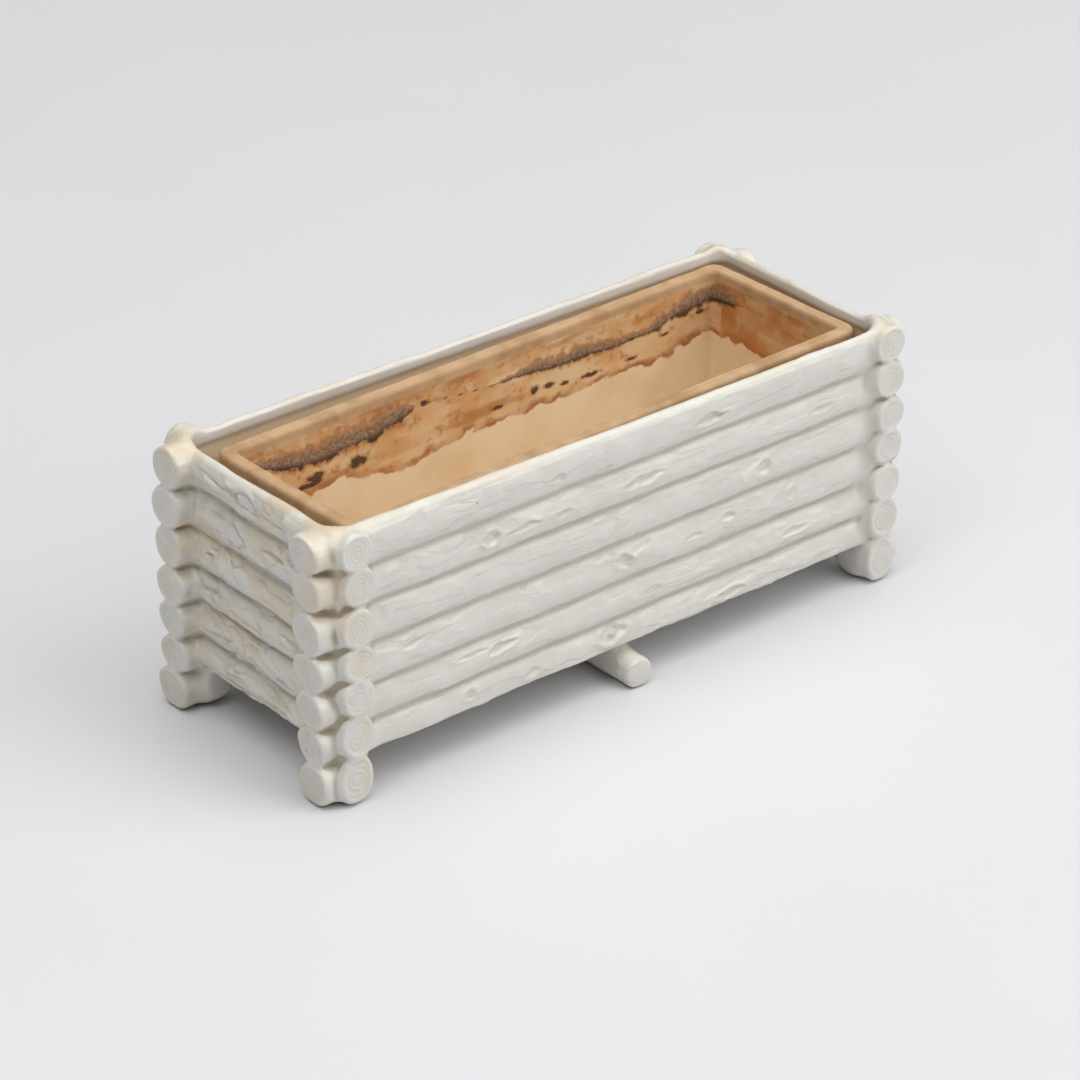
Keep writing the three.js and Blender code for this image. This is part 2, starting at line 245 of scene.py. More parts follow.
for side, grooves, seed in ((-1, FRONT_GROOVES, 100), (1, BACK_GROOVES, 200)):
    part, x, y, z = window((-204, min(side * 60, side * 80), 18), (204, max(side * 60, side * 80), 171))
    wall = log_wall(grooves, x, side * y - CAVITY_Y, z, seed, LONG_WALL, True)
    field[part] = smooth_min(field[part], smooth_max(wall, np.abs(x) - CORE_X, 3), 2)
for side, grooves, seed in ((-1, LEFT_GROOVES, 300), (1, RIGHT_GROOVES, 400)):
    part, x, y, z = window((min(side * 188, side * 208), -76, 18), (max(side * 188, side * 208), 76, 171))
    wall = log_wall(grooves, y, side * x - CAVITY_X, z, seed, END_WALL, False)
    field[part] = smooth_min(field[part], smooth_max(wall, np.abs(y) - CORE_Y, 3), 2)


# Corner log ends: at each corner the long logs end in a stack of seven cut faces at the pot's end, and
# the short logs in a stack at its front or back. The lowest of each is the foot. Every end was
# pressed by hand, so each has its own height, size and tilt. Numbers are side place and height.
LONG_END_X = 213.7
SHORT_END_Y = 81.9
STACKS = {
    (-1, -1): (
        ((-62.2, 153.1), (-62.9, 130.6), (-63.4, 105.5), (-63.1, 81.5), (-63.8, 58.9), (-63.6, 36.3)),
        ((-190.6, 154.5), (-188.8, 132.9), (-189.9, 108.0), (-189.9, 86.6), (-191.2, 66.0), (-192.0, 42.3)),
    ),
    (1, -1): (
        ((-62.4, 152.0), (-63.4, 129.0), (-63.0, 105.0), (-63.8, 81.9), (-63.2, 59.2), (-63.6, 36.8)),
        ((195.8, 155.7), (196.4, 133.1), (198.2, 109.7), (197.3, 89.6), (197.2, 65.4), (196.0, 42.9)),
    ),
    (-1, 1): (
        ((62.7, 153.8), (64.4, 128.8), (63.9, 104.2), (64.0, 79.6), (63.6, 58.6), (63.5, 36.4)),
        ((-190.2, 156.2), (-191.6, 133.6), (-190.8, 109.9), (-191.9, 87.2), (-190.6, 65.0), (-191.4, 42.2)),
    ),
    (1, 1): (
        ((63.0, 150.8), (63.8, 129.6), (63.2, 105.4), (63.9, 82.4), (63.3, 59.4), (63.7, 36.9)),
        ((196.2, 153.0), (197.1, 132.0), (196.5, 110.2), (197.4, 88.4), (196.9, 65.6), (196.3, 43.0)),
    ),
}
LONG_END_WIDE = 12.7
SHORT_END_WIDE = 11.2
# How far each end is out of round, and in how many lobes.
END_LOBES = ((0.024, 2), (0.020, 3), (0.012, 5))
# How far the corner behind the ends stands back from the walls' faces, and the fillets round it.
CORE_BACK = 1.4
CORE_ROUND = 7
CROSSING_FILLET = 6.5
WALL_FILLET = 3.2
# Each cut end's axis, side, reach, place and half size, kept for its growth rings.
cut_faces = []


def half_heights(ends):
    """Half the height of each end of a stack, so that it just meets the ends above and below it."""
    heights = np.array([height for _, height in ends] + [13.0])
    steps = -np.diff(heights)
    return 0.5 * (steps + np.concatenate([steps[:1], steps[:-1]])) / 2


def log_end(axis, side, across, z, end, root, size, rng):
    """Field of one short log in a window: axis is its distance outwards, across its side place."""
    middle, height = side
    wide, tall = size[0] * rng.uniform(0.97, 1.04), size[1]
    u, v = (across - middle) / wide, (z - height) / tall
    angle = np.arctan2(v, u)
    lobes = sum(bulge * np.sin(count * angle + rng.uniform(0, 6.3)) for bulge, count in END_LOBES)
    taper = 1 - 0.10 * np.clip((end - 16 - axis) / 22, 0, 1)
    radius = np.sqrt(u * u + v * v)
    barrel = (radius - taper - lobes) * min(wide, tall)
    tilt = rng.uniform(-0.035, 0.035, 2)
    face = axis - end + 0.25 + tilt[0] * (across - middle) + tilt[1] * (z - height)
    return smooth_max(smooth_max(barrel, face, 1.3), root - axis, 5)


for (sx, sy), (long_ends, short_ends) in STACKS.items():
    rng = np.random.default_rng(70 + 2 * sx + sy)
    low = (min(sx * 160, sx * 217), min(sy * 38, sy * 87), 22)
    high = (max(sx * 160, sx * 217), max(sy * 38, sy * 87), 171)
    part, x, y, z = window(low, high)
    core = smooth_max(np.abs(x) - CORE_X + CORE_BACK, np.abs(y) - CORE_Y + CORE_BACK, CORE_ROUND)
    core = smooth_max(core, z - 163.6, 4)
    stack = smooth_max(core, 26.5 - z, 3)
    stack = np.maximum(stack, np.maximum(POST_X - 6 - np.abs(x), POST_Y - 6 - np.abs(y)))
    talls = zip(half_heights(long_ends), half_heights(short_ends))
    for long_end, short_end, (long_tall, short_tall) in zip(long_ends, short_ends, talls):
        reach_x, reach_y = LONG_END_X - rng.uniform(0, 0.9), SHORT_END_Y - rng.uniform(0, 0.6)
        long_size, short_size = (LONG_END_WIDE, long_tall), (SHORT_END_WIDE, short_tall)
        long_log = log_end(sx * x, long_end, y, z, reach_x, 184, long_size, rng)
        short_log = log_end(sy * y, short_end, x, z, reach_y, 57, short_size, rng)
        row = smooth_min(long_log, short_log, CROSSING_FILLET)
        stack = smooth_min(stack, row, 2)
        cut_faces.append(("x", sx, reach_x, long_end, long_size))
        cut_faces.append(("y", sy, reach_y, short_end, short_size))
    field[part] = smooth_min(field[part], stack, WALL_FILLET)

# The hollow: straight sides and round corners, under a rim that rolls a little inwards.
ROLL = 1.5
ROLL_LOW = 146.0
ROLL_HIGH = 157.5
part, x, y, z = window((-204, -76, 10), (204, 76, 171))
bow_x = 0.8 * wander(y, 180, 31)
bow_y = np.where(y < 0, 0.006 * (x + 164), 0.4 * wander(x, 300, 33))
qx = np.abs(x) - (CAVITY_X + bow_x) + CAVITY_CORNER
qy = np.abs(y) - (CAVITY_Y + bow_y) + CAVITY_CORNER
hollow = np.hypot(np.maximum(qx, 0), np.maximum(qy, 0)) + np.minimum(np.maximum(qx, qy), 0) - CAVITY_CORNER
under_roll = ROLL * np.clip((ROLL_HIGH - z) / 2, 0, 1) * np.clip((z - ROLL_LOW) / 7, 0, 1) - 0.4 * (z > 150)
field[part] = smooth_max(field[part], under_roll - hollow, 3.4 + 2.4 * np.clip((z - 155) / 5, 0, 1))


# Feet: the seventh log ends, taller than the rest. The short log runs in under the end wall and
# sweeps up to a point, and the soles were wiped flat for firing.
FOOT_LONG_END = (12.4, 12.7)
FOOT_SHORT_END = (11.0, 15.2)
FOOT_TIP_Y = 48.6
FEET = {
    (-1, -1): ((-65.6, 12.9), (-193.6, 15.6)),
    (1, -1): ((-63.8, 12.7), (195.2, 15.2)),
    (-1, 1): ((66.4, 12.9), (-192.2, 15.4)),
    (1, 1): ((64.6, 12.7), (196.0, 15.4)),
}

for (sx, sy), (long_end, short_end) in FEET.items():
    rng = np.random.default_rng(80 + 2 * sx + sy)
    low = (min(sx * 165, sx * 217), min(sy * 36, sy * 87), -3)
    high = (max(sx * 165, sx * 217), max(sy * 36, sy * 87), 44)
    part, x, y, z = window(low, high)
    long_log = log_end(sx * x, long_end, y, z, LONG_END_X - 0.4, 184, FOOT_LONG_END, rng)
    short_log = log_end(sy * y, short_end, x, z, SHORT_END_Y - 0.3, FOOT_TIP_Y, FOOT_SHORT_END, rng)
    sweep = 7.5 * np.clip((62 - sy * y) / 13, 0, 1.3) ** 2
    short_log = smooth_max(short_log, sweep - z, 2.5)
    foot = smooth_min(long_log, short_log, 5)
    joined = smooth_min(field[part], foot, 3.5)
    field[part] = smooth_max(joined, 0.15 - z, 2.2)
    cut_faces.append(("x", sx, LONG_END_X - 0.4, long_end, FOOT_LONG_END))
    cut_faces.append(("y", sy, SHORT_END_Y - 0.3, short_end, FOOT_SHORT_END))


# Floor and cross log: a slab luted into the walls, flush below, and a plain clay log across the
# middle of its underside that keeps it from sagging in the kiln.
FLOOR_TOP = 33.7
CROSS_X = 4.0
CROSS_Z = 9.5
CROSS_RADIUS = 9.8
CROSS_REACH = 84.3

part, x, y, z = window((-200, -74, 18), (200, 74, 42))
sag = 0.5 * wander(x, 210, 51) * np.cos(y / 60)
slab = smooth_max(z - FLOOR_TOP - 0.4 * sag, WALL_FOOT + 0.35 + 0.5 * sag - z, 1.5)
slab = smooth_max(slab, np.maximum(np.abs(x) - CAVITY_X - 2, np.abs(y) - CAVITY_Y - 2), 1)
field[part] = smooth_min(field[part], slab, 3)
part, x, y, z = window((-22, -87, -3), (30, 87, 34))
bend = 0.5 * wander(y, 160, 52)
barrel = np.hypot(x - CROSS_X - bend, z - CROSS_Z) - CROSS_RADIUS - 0.25 * wander(y, 60, 53)
cross = smooth_max(barrel, np.abs(y) - CROSS_REACH + 0.02 * (z - CROSS_Z), 3)
neck = smooth_max(np.abs(x - CROSS_X) - 5, np.maximum(np.abs(y) - 66, CROSS_Z - z), 3)
neck = np.maximum(neck, z - FLOOR_TOP + 3)
field[part] = smooth_min(field[part], smooth_min(cross, neck, 5), 4)
field[part] = smooth_max(field[part], 0.15 - z, 1.6)


# Glazed surface: the clay was carved and scratched while it was wet, then dipped in a thick glaze that
# flowed over every sharp corner. The field is blurred by about a millimetre for that, then turned
# into one skin of points, which all the moulded parts share.
for axis in range(3):
    last = field.shape[axis] - 1
    before = np.take(field, np.maximum(np.arange(last + 1) - 1, 0), axis)
    after = np.take(field, np.minimum(np.arange(last + 1) + 1, last), axis)
    field = (before + 2 * field + after) / 4

# The clay's skin: one point in every cell of the grid that the surface crosses.
inside = field < 0
shape = tuple(n - 1 for n in inside.shape)
corner_steps = [(i, j, k) for i in (0, 1) for j in (0, 1) for k in (0, 1)]
count = np.zeros(shape, np.int8)
for i, j, k in corner_steps:
    count += inside[i:i + shape[0], j:j + shape[1], k:k + shape[2]]
cells = np.argwhere((count > 0) & (count < 8))
cell_number = np.ravel_multi_index(cells.T, shape)
corners = np.stack([field[tuple((cells + step).T)] for step in corner_steps], 1)
total = np.zeros((len(cells), 3))
crossings = np.zeros(len(cells))
for a, first in enumerate(corner_steps):
    for b, second in enumerate(corner_steps):
        if b > a and sum(abs(p - q) for p, q in zip(first, second)) == 1:
            crossed = (corners[:, a] < 0) != (corners[:, b] < 0)
            share = np.where(crossed, corners[:, a] / (corners[:, a] - corners[:, b] + 1e-12), 0)
            total += (first + share[:, None] * np.subtract(second, first)) * crossed[:, None]
            crossings += crossed


def in_millimetres(cells, local):
    """Points from grid cells and places within them."""
    columns = zip(cells.T, local.T, (xs, ys, zs))
    return np.stack([lines[cell] + share * np.diff(lines)[cell] for cell, share, lines in columns], 1)


def outer_quads(solid, offset):
    """A quad round every grid edge that leaves a solid block: its cells, the edge and the way it faces."""
    block = np.pad(solid, 1)
    quads, edges, facing = [], [], []
    for axis in range(3):
        first = np.take(block, range(block.shape[axis] - 1), axis)
        second = np.take(block, range(1, block.shape[axis]), axis)
        p, q = np.delete(np.eye(3, dtype=int), axis, 0)
        for out, leaves in ((1, first & ~second), (-1, ~first & second)):
            edge = np.argwhere(leaves) - 1 + offset
            ring = [edge - p - q, edge - q, edge, edge - p]
            if (out > 0) == (axis == 1):
                ring.reverse()
            quads.append(np.stack([np.ravel_multi_index(c.T, shape) for c in ring], 1))
            edges.append(np.ravel_multi_index(edge.T, shape) * 3 + axis)
            facing.append(np.repeat([out * np.eye(3)[axis]], len(edge), 0))
    return np.concatenate(quads), np.concatenate(edges), np.concatenate(facing)


def point_normals(points, quads):
    """Unit normals at the points."""
    corner = points[quads]
    normal = np.cross(corner[:, 2] - corner[:, 0], corner[:, 3] - corner[:, 1])
    flat = quads.ravel()
    total = np.stack([np.bincount(flat, np.repeat(normal[:, c], 4), len(points)) for c in range(3)], 1)
    return total / np.maximum(np.linalg.norm(total, axis=1, keepdims=True), 1e-9)


def noise(points, size, seed):
    """Smooth random values from -1 to 1 whose lumps have this size in millimetres."""
    lattice = np.random.default_rng(seed).uniform(-1, 1, (64, 64, 64))
    place = points / size + 20
    base = np.floor(place).astype(int)
    share = place - base
    share = share * share * (3 - 2 * share)
    total = 0
    for step in corner_steps:
        weight = np.where(step, share, 1 - share).prod(1)
        total = total + weight * lattice[tuple(((base + step) & 63).T)]
    return total


local = total / crossings[:, None]
points = in_millimetres(cells, local)
whole, whole_edges, _ = outer_quads(inside, np.zeros(3, int))
whole = np.searchsorted(cell_number, whole)
sides = np.concatenate([whole[:, [a, (a + 1) % 4]] for a in range(4)])
neighbours = np.maximum(np.bincount(sides[:, 0], minlength=len(points)), 1)


def evened(values, passes, share):
    """Values at the points, a column each, drawn towards the average of the points round them."""
    for _ in range(passes):
        sums = [np.bincount(sides[:, 0], column[sides[:, 1]], len(points)) for column in values.T]
        values = values + share * (np.stack(sums, 1) / neighbours[:, None] - values)
    return values


points = evened(points, 3, 0.5)
normals = point_normals(points, whole)

# How hollow or how proud each place is, from the share of clay in a box of seven cells round it.
BOX = 7
clay = np.clip(0.5 - field / 1.5, 0, 1)
for axis in range(3):
    before = np.zeros_like(np.take(clay, range(BOX // 2 + 1), axis))
    total = np.cumsum(np.concatenate([before, clay], axis), axis, dtype=np.float64)
    upper = np.take(total, range(BOX, total.shape[axis]), axis)
    lower = np.take(total, range(total.shape[axis] - BOX), axis)
    pad = [(0, 0)] * 3
    pad[axis] = (0, BOX // 2)
    clay = np.pad((upper - lower) / BOX, pad, mode="edge")[tuple(slice(0, n) for n in field.shape)]
crease = np.zeros(len(cells))
for step in corner_steps:
    crease += np.where(step, local, 1 - local).prod(1) * clay[tuple((cells + step).T)]
crease = evened(crease[:, None] - 0.5, 3, 0.5)[:, 0]

# Tool marks in the wet clay: bark plates that run along the logs, lumps, and the knots.
px, py, pz = points.T
on_walls = np.where((np.abs(py) > 62) & (np.abs(px) < 180), 1.0, np.where(np.abs(py) < 52, 0.0, np.nan))
by_facing = normals[:, 1] ** 2 / (normals[:, 0] ** 2 + normals[:, 1] ** 2 + 0.05)
lengthwise = np.where(np.isnan(on_walls), by_facing, on_walls)
beyond = np.maximum(np.abs(px) - CAVITY_X, np.abs(py) - CAVITY_Y)
on_ends = np.abs(px) - CAVITY_X > np.abs(py) - CAVITY_Y
facing = np.where(on_ends, np.sign(px) * normals[:, 0], np.sign(py) * normals[:, 1])
outward = ((beyond > 3) | (beyond > 1) & (facing > -0.2)) & (pz > 1) | (pz > 163)
hollow_side = ~outward & (pz > FLOOR_TOP - 2)


def barked(size_along, size_across, seed):
    """Noise drawn out along the logs of whichever wall a point is on."""
    along_x = noise(slanted, np.array([size_along, size_across, size_across]), seed)
    along_y = noise(slanted, np.array([size_across, size_along, size_across]), seed + 1)
    return lengthwise * along_x + (1 - lengthwise) * along_y


# Bark on the walls only: the corners and the rim were smoothed by hand.
on_bark = np.clip(np.maximum((180 - np.abs(px)) / 10, (52 - np.abs(py)) / 8), 0, 1)
on_bark = on_bark * np.clip((162 - pz) / 5, 0, 1)
slanted = points - np.outer(np.where(on_ends, 0.3 * py, 0.05 * px), (0, 0, 1))
plates = barked(34, 9, 1) + 0.6 * barked(15, 5, 3) + 0.3 * barked(6, 3, 5)
patches = np.clip(np.where(on_ends, 1.0, 0.7) + 1.5 * noise(points, 45, 7), 0, 1) * on_bark
patches = patches * np.where(on_ends, 2.0, 0.8)
raised = np.clip((plates - 0.02) / 0.2, 0, 1)
ridges = np.exp(-((plates - 0.18) / 0.12) ** 2)
lumps = 0.45 * noise(points, 24, 9) + 0.3 * noise(points, 10, 11)
lumps = np.where(pz > 160, 0.8 * lumps - 0.2, lumps)
depth = lumps + patches * (0.55 * raised + 0.3 * ridges - 0.3)

# Knots and gouges, each pressed with a tool: place along the wall, height, half length, half height,
# depth, and height of the lip pushed up round it.
FRONT_MARKS = (
    (61.7, 149.2, 12, 2.6, 1.8, 0.5), (11.8, 127.4, 13, 2.4, 1.7, 0.3), (-95.1, 127.4, 5, 3.4, 1.6, 1.1),
    (-73.0, 126.8, 12, 1.5, 1.1, 0.2), (103.3, 104.4, 5, 3.6, 1.6, 0.5), (0.8, 79.9, 4.5, 3.6, 1.9, 0.7),
    (126.7, 80.9, 4, 2.6, 1.2, 0.5), (-87.8, 57.6, 9, 2.0, 1.5, 0.6), (-108.0, 59.6, 10, 1.3, 0.8, 0.3),
    (-10.8, 36.0, 8.5, 5.0, 1.0, 1.4), (-8.0, 36.5, 2.2, 1.8, -1.2, 0.0),
    (-47.0, 126.9, 6, 1.6, 0.9, 0.5), (-48.1, 148.8, 5, 2.0, 0.9, 0.3), (-15.5, 142.8, 4, 1.8, 0.8, 0.2),
    (-18.2, 111.3, 3, 1.6, -0.9, 0.0), (59.7, 111.3, 6, 1.5, -0.9, 0.2), (52.0, 78.6, 9, 1.2, 0.9, 0.3),
    (77.0, 81.8, 6, 1.6, 0.9, 0.3), (79.5, 31.5, 9, 2.4, 1.4, 0.6), (61.6, 39.4, 6, 2.0, -0.8, 0.3),
    (-72.4, 88.2, 2.0, 3.6, 1.1, 0.4), (-67.2, 65.4, 5, 2.6, -0.8, 0.5), (-65.2, 33.0, 6, 2.4, 1.0, 0.3),
    (-110.6, 35.6, 4, 2.6, 1.0, 0.5), (-128.6, 47.0, 6, 2.0, -0.7, 0.4),
    (-151.6, 137.4, 5, 2.4, -0.8, 0.3), (148.0, 128.0, 9, 1.8, 1.0, 0.3),
    (128.0, 55.0, 8, 2.0, 1.1, 0.4), (20.0, 54.0, 9, 1.6, 0.9, 0.4), (-150.0, 82.0, 8, 1.8, 1.0, 0.4),
)
LEFT_MARKS = (
    (12.7, 152.8, 3.2, 3.2, 2.2, 0.3), (16.8, 157.6, 4.0, 1.8, -0.9, 0.0),
    (34.6, 110.6, 3.2, 3.0, 2.2, 0.4), (37.2, 106.0, 2.6, 2.2, 1.9, 0.3),
    (5.2, 115.4, 3.0, 2.4, 1.4, 0.4), (46.0, 137.0, 4.5, 2.4, 1.2, 0.6),
    (9.2, 121.6, 1.6, 1.6, 1.6, 0.0), (-8.2, 109.6, 5.0, 1.8, 1.5, 0.5),
    (-10.7, 89.0, 6.0, 1.8, 1.2, 0.5), (0.0, 64.1, 7.0, 2.0, 1.2, 0.5), (26.0, 134.0, 10, 1.8, 1.4, 0.6),
    (-22.0, 131.0, 10, 1.6, 1.2, 0.6), (38.0, 84.0, 9, 1.8, 1.3, 0.5), (-34.0, 84.0, 8, 1.6, 1.1, 0.5),
    (30.0, 58.0, 8, 1.8, 1.2, 0.5), (-30.0, 56.0, 8, 1.6, 1.1, 0.4), (14.0, 38.0, 8, 1.8, 1.2, 0.5),
    (-26.0, 36.0, 6, 1.6, 1.0, 0.4),
)
gouged = np.zeros(len(points))
shift, rise = 2.6 * noise(points, 7, 91), 1.1 * noise(points, 4, 92)
for on_wall, place, marks in (((py < -60) & (np.abs(px) < 185), px, FRONT_MARKS),
                              ((px < -190) & (np.abs(py) < 57), py, LEFT_MARKS)):
    for spot, height, length, tall, dip, lip in marks:
        across = (pz + rise - height - 0.06 * (place - spot)) / tall
        away = (np.abs((place + shift - spot) / length) ** 1.3 + np.abs(across) ** 1.3) ** (1 / 1.3)
        near = on_wall & (away < 2.2)
        bowl = np.clip((1.25 - away[near]) / 0.5, 0, 1)
        bowl = bowl * bowl * (3 - 2 * bowl)
        pushed_up = lip * np.exp(-((away[near] - 1.45) / 0.25) ** 2)
        depth[near] = depth[near] * (1 - 0.6 * bowl) - dip * bowl + pushed_up
        torn = bowl * np.clip(0.6 - 0.8 * across[near], 0, 1) * (dip > 0)
        gouged[near] = np.maximum(gouged[near], torn)

# The grooves between the logs, cleaned out with a narrow tool, and crevices in the bark of the ends.
GROOVE_WIDTH = 2.1
GROOVE_DEPTH = 0.5
CREVICE_DEPTH = 1.0
grooved = np.zeros(len(points))
on_long = np.clip((182 - np.abs(px)) / 6, 0, 1)
on_short = np.clip((54 - np.abs(py)) / 6, 0, 1)
for on_wall, place, grooves, seed in ((on_long * (py < -62), px, FRONT_GROOVES, 100),
                                      (on_long * (py > 62), px, BACK_GROOVES, 200),
                                      (on_short * (px < -190), py, LEFT_GROOVES, 300),
                                      (on_short * (px > 190), py, RIGHT_GROOVES, 400)):
    for course in range(1, 6):
        line = grooves[course] + 0.5 * wander(place, 110, seed + course)
        grooved = np.maximum(grooved, on_wall * outward * np.exp(-((pz - line) / GROOVE_WIDTH) ** 2))
depth = depth * (1 - 0.7 * grooved) - GROOVE_DEPTH * grooved ** 2
crevices = np.exp(-((plates + 0.1) / 0.07) ** 2) * np.clip(patches, 0, 1) * on_ends * outward
depth = depth - CREVICE_DEPTH * crevices
grooved = np.maximum(grooved, 0.6 * crevices * np.clip(0.5 + 1.4 * noise(points, 20, 93), 0, 1))

# Growth rings scratched into each cut end inside a rolled edge, and a fine seam where the end was
# pushed against the one below it.
RING_TURNS = 4.2
RING_DEPTH = 0.35
EDGE_ROLL = 0.3
SEAM_DEPTH = 0.7
SEAM_WIDTH = 1.3
rings = np.zeros(len(points))
turns = np.zeros(len(points))
for axis, side, end, (middle, height), size in cut_faces:
    away, across = (px, py) if axis == "x" else (py, px)
    u, v = (across - middle) / size[0], (pz - height) / size[1]
    faces_out, reach = side * normals[:, 0 if axis == "x" else 1], side * away - end
    level = np.clip((faces_out - 0.55) / 0.3, 0, 1) * np.clip((reach + 3.5) / 1.2, 0, 1)
    level = level * np.clip((1.08 - np.hypot(u, v)) / 0.14, 0, 1)
    on = level > 0
    radius, level = np.hypot(u[on], v[on]), level[on]
    phase = np.random.default_rng(int(abs(middle) * 10 + height * 10)).uniform(0, 1, 2)
    wobble = 0.08 * np.sin(2 * np.arctan2(v[on], u[on]) + 6.3 * phase[0])
    wobble = wobble + 0.13 * noise(points[on], 7, int(9 * height))
    turns[on] = (radius + wobble) * RING_TURNS + 0.3 * phase[1]
    faint = np.clip(0.75 + 0.9 * noise(points[on], 6, 77), 0.1, 1)
    rings[on] = level * np.clip((0.8 - radius) / 0.08, 0, 1) * faint
    marked = 0.25 * lumps[on] + EDGE_ROLL * np.exp(-((radius - 0.88) / 0.06) ** 2)
    marked = marked - RING_DEPTH * np.abs(np.sin(np.pi * turns[on])) * rings[on]
    depth[on] = depth[on] * (1 - level) + marked * level
    seam = np.clip((faces_out - 0.2) / 0.5, 0, 1) * np.clip((reach + 6) / 2, 0, 1)
    seam = seam * np.clip((0.9 - np.abs(u)) / 0.25, 0, 1)
    depth = depth - SEAM_DEPTH * seam * np.exp(-((pz - height + size[1]) / SEAM_WIDTH) ** 2)
depth = np.where(outward, depth, 0.25 * lumps) * np.clip(1 - (crease - 0.06) / 0.1, 0.1, 1)

# Where soil water has stained the glaze: inside the pot, along the rim, on the corners and the left.
dirt = np.clip((pz - 158) / 7, 0, 1) * np.clip(0.6 + (np.abs(px) - 178) / 12, 0.6, 1)
dirt = np.maximum(dirt, np.where(px < -186, 0.55, 0.08))
dirt = np.where(hollow_side, 2 * np.clip((158.5 - pz) / 2, 0, 1), dirt)
# The pockets between the crossed ends get painted shade: their crease value is raised, so the crease
# colours below paint them grey and brown.
pocket = np.clip((211.5 - np.abs(px)) / 3, 0, 1) * np.clip((np.abs(px) - 192) / 6, 0, 1)
pocket = pocket * np.clip((82.5 - np.abs(py)) / 3, 0, 1) * np.clip((np.abs(py) - 62) / 6, 0, 1)
crease_with_painted_shade = crease + pocket * (0.045 + 1.4 * np.clip(crease, 0, 1))

points = points + normals * depth[:, None]
# Glaze pools in the tight creases, so the points there are drawn towards their neighbours.
points = evened(points, 4, 0.7 * np.clip((crease - 0.02) / 0.06, 0, 1)[:, None])
normals = point_normals(points, whole)

# Its moulded parts, under the same names as in the CAD model, closed where they were luted together.
PARTS = []
for kind in ("foot", "corner_post"):
    PARTS += [f"front_left_{kind}", f"front_right_{kind}", f"back_left_{kind}", f"back_right_{kind}"]
PARTS += ["front_wall", "back_wall", "left_wall", "right_wall", "floor_slab", "cross_log"]
# Log ends that stand further out than this belong to the posts and feet.
SHORT_ENDS_FROM = 77.7
LONG_ENDS_FROM = 205.8
gx, gy, gz = np.abs(xs)[:, None, None], np.abs(ys)[None, :, None], zs[None, None, :]
right, behind = (xs > 0)[:, None, None], (ys > 0)[None, :, None]
proud = ((gy > SHORT_ENDS_FROM) & (gx > 174)) | ((gx > LONG_ENDS_FROM) & (gy > 45))
post = ((gx > POST_X) & (gy > POST_Y)) | proud
foot = (gz < WALL_FOOT) | ((gy > SHORT_ENDS_FROM) & (gz < 31.3) & (gx > 174))
# The part that each place on the grid belongs to, by its number in PARTS.
part_number = np.where(gy > POST_Y, 8 + behind, 10 + right)
part_number = np.where((gz < 40) & (gx < CAVITY_X) & (gy < CAVITY_Y), 12, part_number)
part_number = np.where(post, 4 + right + 2 * behind, part_number)
part_number = np.where(foot, right + 2 * behind, part_number)
part_number = np.where((gz < WALL_FOOT) & (gx < 60), 13, part_number).astype(np.int8)

# Tin glaze: a glossy white lead glaze made opaque with tin, over buff earthenware. It thins to warm cream
# on edges, and old soil water has stained the creases brown. Its colour also holds painted light: the grey
# in the grooves and creases is partly pooled glaze and partly painted shade, the pockets between the
# crossed ends and the ring scratches get painted shade, and faces that look up are painted paler as if lit
# from above.
GLAZED_SKIN = {"crease": crease_with_painted_shade, "rings": rings, "turns": turns, "grooved": grooved,
               "gouged": gouged, "upward": normals[:, 2], "dirt": dirt, "lengthwise": lengthwise,
               "bark": on_bark * outward}
# Size in millimetres of each kind of cloudy mark, and how finely it breaks up.
GLAZE_MARKS = {"milky": (22.2, 3.0), "tea": (29.4, 6.0), "seeping": (25.0, 2.0), "worn": (14.3, 3.0),
               "shine": (11.1, 3.0), "waves": (3.03, 2.0)}
SPECK_SPACING = 26.3
# Flakes of the moulded bark, drawn a little coarser than the real ones so that they show.
FLAKE_LENGTH = 45.45
FLAKE_THROUGH = 11.765
FLAKE_TALL = 11.11
GLAZE_IOR = 1.52

glaze, tree, shader = new_material("tin_glaze")
place = add(tree, "TexCoord", output="Object")
at = {title: add(tree, "Attribute", output="Fac", attribute_name=title) for title in GLAZED_SKIN}
marks = {}
for title, (size, detail) in GLAZE_MARKS.items():
    marks[title] = add(tree, "TexNoise", {"Vector": place, "Scale": 1000 / size, "Detail": detail})


def stained(tree, under, over, *masks):
    """One colour over another, as far as every mask lets it show.

    A mask is a value, or a value with the two ends of its range and the share shown at each end.
    """
    share = None
    for mask in masks:
        if isinstance(mask, tuple):
            value, low, high, *shares = mask
            least, most = shares or (0.0, 1.0)
            span = {0: value, 1: low, 2: high, 3: least, 4: most}
            mask = add(tree, "MapRange", span, interpolation_type="SMOOTHSTEP")
        share = mask if share is None else add(tree, "Math", {0: share, 1: mask}, operation="MULTIPLY")
    under, over = [linear(c) if isinstance(c, str) else c for c in (under, over)]
    return add(tree, "Mix", {0: share, 6: under, 7: over}, output=2, data_type="RGBA")


angle = add(tree, "Math", {0: at["turns"], 1: math.pi}, operation="MULTIPLY")
wave = add(tree, "Math", {0: add(tree, "Math", {0: angle}, operation="SINE")}, operation="ABSOLUTE")
ring_marks = add(tree, "Math", {0: wave, 1: at["rings"]}, operation="MULTIPLY")
speck_cell = add(tree, "TexVoronoi", {"Vector": place, "Scale": 1000 / SPECK_SPACING})
speck = add(tree, "Math", {0: speck_cell, 1: 0.022}, operation="LESS_THAN")
cell_value = add(tree, "SeparateColor", {0: speck_cell.node.outputs["Color"]})
one_in_five = add(tree, "Math", {0: cell_value, 1: 0.8}, operation="GREATER_THAN")

